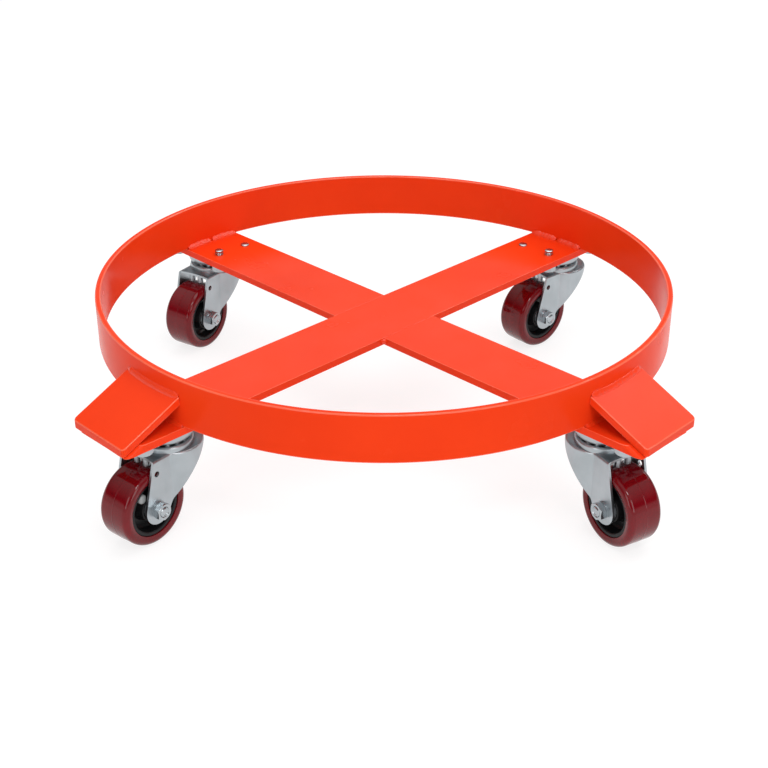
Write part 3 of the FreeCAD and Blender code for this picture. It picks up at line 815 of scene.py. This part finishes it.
def uShape(radius, half, front):
    # a round back behind the swivel axis that runs into two straight legs
    meet, count = math.asin(half / radius), fork["sides"]["crown"]
    angles = [meet + (math.pi - meet) * 2 * index / count for index in range(count + 1)]
    back = [(radius * math.cos(angle) - fork["setback"], radius * math.sin(angle)) for angle in angles]
    return [(front, -half), (front, half)] + back


def arcPoints(start, end, radius, count):
    # points from start to end on an arc that turns clockwise
    half = Vector(((end[0] - start[0]) / 2, (end[1] - start[1]) / 2))
    side = Vector((half.y, -half.x)).normalized()
    middle = Vector(start) + half + side * math.sqrt(max(radius * radius - half.length_squared, 0))
    first = math.atan2(start[1] - middle.y, start[0] - middle.x)
    last = math.atan2(end[1] - middle.y, end[0] - middle.x)
    while last > first:
        last -= 2 * math.pi
    angles = [first + (last - first) * index / count for index in range(count + 1)]
    return [(middle.x + radius * math.cos(angle), middle.y + radius * math.sin(angle)) for angle in angles]


def makeFork():
    level, sheet, end = layout["axleLevel"], fork["sheet"], fork["endRadius"]
    legIn, far = fork["legOut"] - sheet, layout["trail"] + end + fork["spare"]
    flangeTop, domeTop, rim = fork["flangeTop"], fork["domeTop"], fork["rim"]
    sides, past, across = fork["sides"], forkCut["margin"], (-forkCut["side"], forkCut["side"])
    shell = addProfilePlate("fork", uShape(fork["crown"], fork["legOut"], far), fork["foot"], flangeTop, "z")
    meet = math.sqrt(fork["crown"] ** 2 - fork["legOut"] ** 2) - fork["setback"]

    def bendLine(first, second):
        atMeet = abs(first.x - meet) < slack and abs(abs(first.y) - fork["legOut"]) < slack
        return atMeet and upright(first, second)

    def topEdge(first, second):
        return min(first.z, second.z) > flangeTop - slack

    bevelWhere(shell, bendLine, fork["crease"], fork["bendSteps"])
    bevelWhere(shell, topEdge, fork["bend"], fork["bendSteps"])
    curve = [math.pi / 2 * index / fork["rimSteps"] for index in range(fork["rimSteps"] + 1)]
    flareOut, flareUp = fork["domeFlare"]
    domeFoot = flangeTop - fork["domeBite"]
    dome = [(0, domeFoot), (fork["dome"] + flareOut, domeFoot), (fork["dome"] + flareOut, flangeTop + flareUp)]
    dome += [(fork["dome"] - rim + rim * math.cos(turn), domeTop - rim + rim * math.sin(turn)) for turn in curve]
    joinOn(shell, addSpun("dome", dome + [(0, domeTop)], sides["dome"]))
    hollow = uShape(fork["crown"] - sheet, legIn, far + forkCut["front"])
    cutAway(shell, addProfilePlate("hollow", hollow, forkCut["hollowFoot"], flangeTop - sheet, "z"))
    underDome = addDrum("underDome", fork["dome"] - sheet, forkCut["domeFoot"], domeTop - sheet, sides=sides["dome"])
    cutAway(shell, underDome)

    # the side outline, cut straight through both legs
    frontMeet, backMeet = math.radians(fork["frontMeet"]), math.radians(fork["backMeet"])
    frontSpot = (layout["trail"] + end * math.cos(frontMeet), level + end * math.sin(frontMeet))
    backSpot = (layout["trail"] + end * math.cos(backMeet), level + end * math.sin(backMeet))
    behind, above = -fork["crown"] - fork["setback"] - past, flangeTop + forkCut["above"]
    front = fork["frontReach"]
    outline = [(behind, 0), (far + past, 0), (far + past, above), (front, above), (front, flangeTop)]
    outline += arcPoints(frontSpot, backSpot, end, sides["end"])
    outline += arcPoints((-fork["skirtBack"], fork["skirt"]), backSpot, fork["backCurve"], sides["back"])[::-1][1:]
    outline += [(behind, fork["skirt"])]
    cutAway(shell, addProfilePlate("trim", outline, *across))

    # a shallow arch in the front edge of the flange
    archRadius = (legIn * legIn + fork["archDepth"] ** 2) / 2 / fork["archDepth"]
    arch = [(far + past, -legIn)]
    arch += arcPoints((front, -legIn), (front, legIn), archRadius, sides["arch"])
    arch += [(far + past, legIn)]
    archLow, archHigh = (flangeTop + depth for depth in fork["archSpan"])
    cutAway(shell, addProfilePlate("arch", arch, archLow, archHigh, "z"))

    cutAway(shell, addDrum("bore", fork["bore"], *across, (layout["trail"], level), sides["bore"], "y"))
    holeSpan = (forkCut["holeStart"], forkCut["side"])
    cutAway(shell, addDrum("sideHole", fork["holeRadius"], *holeSpan, fork["holeSpot"], sides["hole"], "y"))
    cutAway(shell, addDrum("pinHole", fork["pinHole"], *forkCut["pinSpan"], sides=sides["bore"]))
    for side in (-1, 1):
        spot = (fork["lugSpot"][0], side * fork["lugSpot"][1])
        lugSpan = (fork["lugLow"], flangeTop - fork["lugBite"])
        joinOn(shell, addDrum("lug", fork["lugRadius"], *lugSpan, spot, sides["lug"]))
    return smoothBy(shell, fork["smooth"])


tyre = {
    "radius": 40, "half": 19, "shoulder": 6, "shoulderSteps": 8, "foot": 17.8, "inner": 30, "toe": (1.2, 0.35),
    "line": 0.12, "lineHalf": 0.3, "lineTop": 0.4, "besideLine": (3, 0.8), "steps": 128, "smooth": 40,
}


def makeTyre():
    # half a section from the bead out to the parting line, then its mirror image
    radius, shoulder, count = tyre["radius"] - tyre["line"], tyre["shoulder"], tyre["shoulderSteps"]
    flat, line = tyre["half"] - shoulder, tyre["lineHalf"]
    toeUp, toeOut = tyre["toe"]
    side = [(tyre["inner"], tyre["foot"]), (tyre["inner"] + toeUp, tyre["foot"] + toeOut)]
    side += [(radius - shoulder, tyre["half"])]
    for index in range(1, count + 1):
        angle = math.pi / 2 * index / count
        side.append((radius - shoulder * (1 - math.sin(angle)), flat + shoulder * math.cos(angle)))
    side += [(radius, along) for along in tyre["besideLine"]]
    side += [(radius, line), (tyre["radius"], line * tyre["lineTop"])]
    profile = [(reach, -along) for reach, along in side] + side[::-1]
    return smoothBy(addSpun("tyre", profile, tyre["steps"], "y"), tyre["smooth"])


wheelCore = {
    "bore": 12.85, "hub": 15, "hubHalf": 16, "webHalf": 4, "rimIn": 25.9, "rimOut": 29.9, "rimHalf": 16.8,
    "edge": 0.8, "rimEdge": 0.6, "steps": 96, "smooth": 32,
    "hubFoot": [(1, 2), (2.5, 0)],  # out from the hub, up from the web
    "rimFoot": [(-3, 0), (-1.2, 1.6)],  # in from the rim, up from the web
}


def makeCore():
    size = wheelCore
    edge, rimEdge, web = size["edge"], size["rimEdge"], size["webHalf"]
    side = [(size["bore"], size["hubHalf"]), (size["hub"] - edge, size["hubHalf"])]
    side += [(size["hub"], size["hubHalf"] - edge)]
    side += [(size["hub"] + out, web + rise) for out, rise in size["hubFoot"]]
    side += [(size["rimIn"] + out, web + rise) for out, rise in size["rimFoot"]]
    side += [(size["rimIn"], size["rimHalf"] - edge), (size["rimIn"] + edge, size["rimHalf"])]
    side += [(size["rimOut"] - rimEdge, size["rimHalf"]), (size["rimOut"], size["rimHalf"] - rimEdge)]
    profile = side + [(reach, -along) for reach, along in side[::-1]]
    return smoothBy(addSpun("wheelCore", profile, size["steps"], "y"), size["smooth"])


plug = {
    "radius": 4.6, "reach": 19.9, "foot": 3.5, "face": 16.5, "steps": 40, "smooth": 40,
    "crown": [(0, -1.4), (-0.5, -0.6), (-1.5, -0.1)],  # out from the radius, up from the face
}


def makePlug():
    profile = [(0, plug["foot"]), (plug["radius"], plug["foot"])]
    profile += [(plug["radius"] + out, plug["face"] + rise) for out, rise in plug["crown"]]
    profile += [(0, plug["face"])]
    return smoothBy(addSpun("corePlug", profile, plug["steps"], "y"), plug["smooth"])


axle = {
    "flats": 16, "headHeight": 6.4, "washer": 1.6, "nutHeight": 6.5, "nutGap": 0.1, "tail": 0.6,
    "radius": 5, "chamfer": 1, "bite": 1, "steps": 48, "smooth": 35,
    "end": [(0, -0.15), (-0.4, 0), (-0.8, 0), (-1.2, -0.35)],  # in from the chamfer, up from the tip
}
nutSeat = fork["legOut"] + axle["washer"]


def makeAxleBolt():
    leg, radius, tip = fork["legOut"], axle["radius"], nutSeat + axle["nutHeight"] + axle["tail"]
    head = addHex("axleHead", axle["flats"], -leg - axle["headHeight"], -leg, "low", "y")
    foot, rim = -leg - axle["bite"], radius - axle["chamfer"]
    profile = [(0, foot), (radius, foot), (radius, tip - axle["chamfer"])]
    profile += [(rim + out, tip + rise) for out, rise in axle["end"]]
    profile += [(0, tip + axle["end"][-1][1])]
    shank = smoothBy(addSpun("axleShank", profile, axle["steps"], "y"), axle["smooth"])
    return merged([head, shank], "axleBolt")


def makeAxleNut():
    bore = axle["radius"] + axle["nutGap"]
    return addHex("axleNut", axle["flats"], nutSeat, nutSeat + axle["nutHeight"], "both", "y", bore)


def standAt(piece, corner, onAxle, turn=0):
    # local place to the caster's own corner; pieces on the axle are modelled about it
    spot = casters[corner]
    azimuth, heading = math.radians(spot["azimuth"]), math.radians(spot["heading"])
    trail = layout["trail"] if onAxle else 0
    piece.rotation_euler[2] = heading + math.radians(turn)
    piece.location = (
        (layout["swivelOffset"] * math.cos(azimuth) + trail * math.cos(heading)) * mm,
        (layout["swivelOffset"] * math.sin(azimuth) + trail * math.sin(heading)) * mm,
        layout["axleLevel"] * mm if onAxle else 0,
    )
    return applyPlace(piece)


def makeCasters():
    models = {
        "topPlate": makeTopPlate(), "fork": makeFork(), "tyre": makeTyre(), "wheelCore": makeCore(),
        "corePlug": makePlug(), "axleBolt": makeAxleBolt(), "axleNut": makeAxleNut(),
    }
    for corner, spot in casters.items():
        plate = copyOf(models["topPlate"], "casterPlate_" + corner)
        standAt(plate, corner, False, spot["azimuth"] - spot["heading"])
        settle(plate, "frame", "zinc_plate", "top_plate_" + corner)
        shell = standAt(copyOf(models["fork"], "forkShell_" + corner), corner, False)
        settle(shell, "swivel_" + corner, "zinc_plate", "fork_" + corner)
        for model, node in (("axleBolt", "axle_bolt_"), ("axleNut", "axle_nut_")):
            piece = standAt(copyOf(models[model], f"{model}_{corner}"), corner, True, spot["nutTurn"])
            settle(piece, "swivel_" + corner, "bright_zinc", node + corner)
        band = standAt(copyOf(models["tyre"], "treadBand_" + corner), corner, True)
        settle(band, "wheel_" + corner, "maroon_polyurethane", "tyre_" + corner)
        hub = standAt(copyOf(models["wheelCore"], "hubCore_" + corner), corner, True)
        settle(hub, "wheel_" + corner, "black_core", "wheel_core_" + corner)
        disc = copyOf(models["corePlug"], "corePlug_" + corner)
        angle = math.radians(spot["plugTurn"])
        disc.location = (plug["reach"] * math.cos(angle) * mm, 0, plug["reach"] * math.sin(angle) * mm)
        standAt(applyPlace(disc), corner, True)
        settle(disc, "wheel_" + corner, "bright_zinc", finish=capFinish)
    for model in models.values():
        bpy.data.objects.remove(model)


makeCasters()
print("casters made")


studio = {
    "wall": 0.75, "middle": 0.06, "zenith": 0.80,  # how bright the room is from the floor up
    "wallTop": (0.15, 0.25), "ceiling": (0.35, 0.8),  # heights between which it changes
    "floorSize": 30, "floorColour": 0.85,
    "floorShare": 0.24, "floorLight": 0.8,  # how much of the floor's white a shadow takes, and the light it gets
}
lamps = {
    "overhead": {"size": (2.4, 1.8), "place": (0.2, 0.3, 2.4), "watts": 24},
    "left": {"size": (0.9, 1.3), "place": (-1.1, -2.2, 1.0), "watts": 10},
    "right": {"size": (0.9, 1.3), "place": (1.3, -2.1, 1.0), "watts": 11},
    "key": {"size": (0.6, 0.35), "place": (0.4, -1.7, 2.3), "watts": 10},
    "rearRight": {"size": (0.8, 0.8), "place": (1.6, 0.9, 1.75), "watts": 7},
    "back": {"size": (2.4, 0.7), "place": (0, 2.2, 1.35), "watts": 5},
}
lampAim = (0, 0, 0.1)


def seenDirectly(nodes, links):
    # 1 for camera, glossy and transmission rays
    path = addNode(nodes, "ShaderNodeLightPath")
    total = path.outputs["Is Camera Ray"]
    for ray in ("Is Glossy Ray", "Is Transmission Ray"):
        step = addNode(nodes, "ShaderNodeMath", operation="MAXIMUM")
        links.new(total, step.inputs[0])
        links.new(path.outputs[ray], step.inputs[1])
        total = step.outputs[0]
    return total


def makeWorld():
    # a plain room: a pale low wall, darker above it, a bright ceiling
    world = bpy.data.worlds.new("studioWorld")
    bpy.context.scene.world = world
    world.use_nodes = True
    nodes, links = world.node_tree.nodes, world.node_tree.links
    where = addNode(nodes, "ShaderNodeTexCoord")
    split = addNode(nodes, "ShaderNodeSeparateXYZ")
    links.new(where.outputs["Generated"], split.inputs["Vector"])
    ceiling = spread(nodes, links, split.outputs["Z"], studio["middle"], studio["zenith"], studio["ceiling"])
    wall = spread(nodes, links, split.outputs["Z"], studio["wall"], 0, studio["wallTop"])
    both = addNode(nodes, "ShaderNodeMath", operation="ADD")
    links.new(ceiling, both.inputs[0])
    links.new(wall, both.inputs[1])
    # white where the camera looks past the floor
    path = addNode(nodes, "ShaderNodeLightPath")
    plain = addNode(nodes, "ShaderNodeMath", operation="MAXIMUM")
    links.new(both.outputs[0], plain.inputs[0])
    links.new(path.outputs["Is Camera Ray"], plain.inputs[1])
    links.new(plain.outputs[0], nodes["Background"].inputs["Strength"])
    nodes["Background"].inputs["Color"].default_value = (1, 1, 1, 1)


def makeFloor():
    clearSelection()
    bpy.ops.mesh.primitive_plane_add(size=studio["floorSize"])
    floor = named("floor")
    finish, nodes, links = newFinish("paleFloor")
    nodes.remove(nodes["Principled BSDF"])
    tone = studio["floorColour"]
    plain = addNode(nodes, "ShaderNodeBsdfDiffuse")
    plain.inputs["Color"].default_value = (tone, tone, tone, 1)
    shadow = addNode(nodes, "ShaderNodeBsdfDiffuse")
    share = studio["floorShare"]
    shadow.inputs["Color"].default_value = (share, share, share, 1)
    glow = addNode(nodes, "ShaderNodeEmission")
    glow.inputs["Strength"].default_value = 1 - share * studio["floorLight"]
    lit = addNode(nodes, "ShaderNodeAddShader")
    links.new(shadow.outputs[0], lit.inputs[0])
    links.new(glow.outputs[0], lit.inputs[1])
    mix = addNode(nodes, "ShaderNodeMixShader")
    links.new(seenDirectly(nodes, links), mix.inputs["Fac"])
    links.new(plain.outputs[0], mix.inputs[1])
    links.new(lit.outputs[0], mix.inputs[2])
    links.new(mix.outputs[0], nodes["Material Output"].inputs["Surface"])
    floor.data.materials.append(finish)


def addSoftbox(name, values):
    bpy.ops.object.light_add(type="AREA", location=values["place"])
    lamp = bpy.context.object
    lamp.name = name + "Softbox"
    lamp.data.shape = "RECTANGLE"
    lamp.data.size, lamp.data.size_y = values["size"]
    lamp.data.energy = values["watts"]
    aim = Vector(lampAim) - Vector(values["place"])
    lamp.rotation_euler = aim.to_track_quat("-Z", "Y").to_euler()


view = {"lens": 65.67, "sensor": 36, "place": (0, -1378.8, 789.6), "pitch": 28.56, "yaw": 0, "roll": 0}


def makeCamera():
    bpy.ops.object.camera_add(location=[value * mm for value in view["place"]])
    camera = bpy.context.object
    camera.data.lens = view["lens"]
    camera.data.sensor_width = view["sensor"]
    camera.rotation_euler = (
        math.radians(90 - view["pitch"]), math.radians(view["roll"]), math.radians(view["yaw"]))
    bpy.context.scene.camera = camera


makeWorld()
makeFloor()
for name, values in lamps.items():
    addSoftbox(name, values)
makeCamera()
bpy.context.scene.view_settings.view_transform = "Standard"
print("stage made")
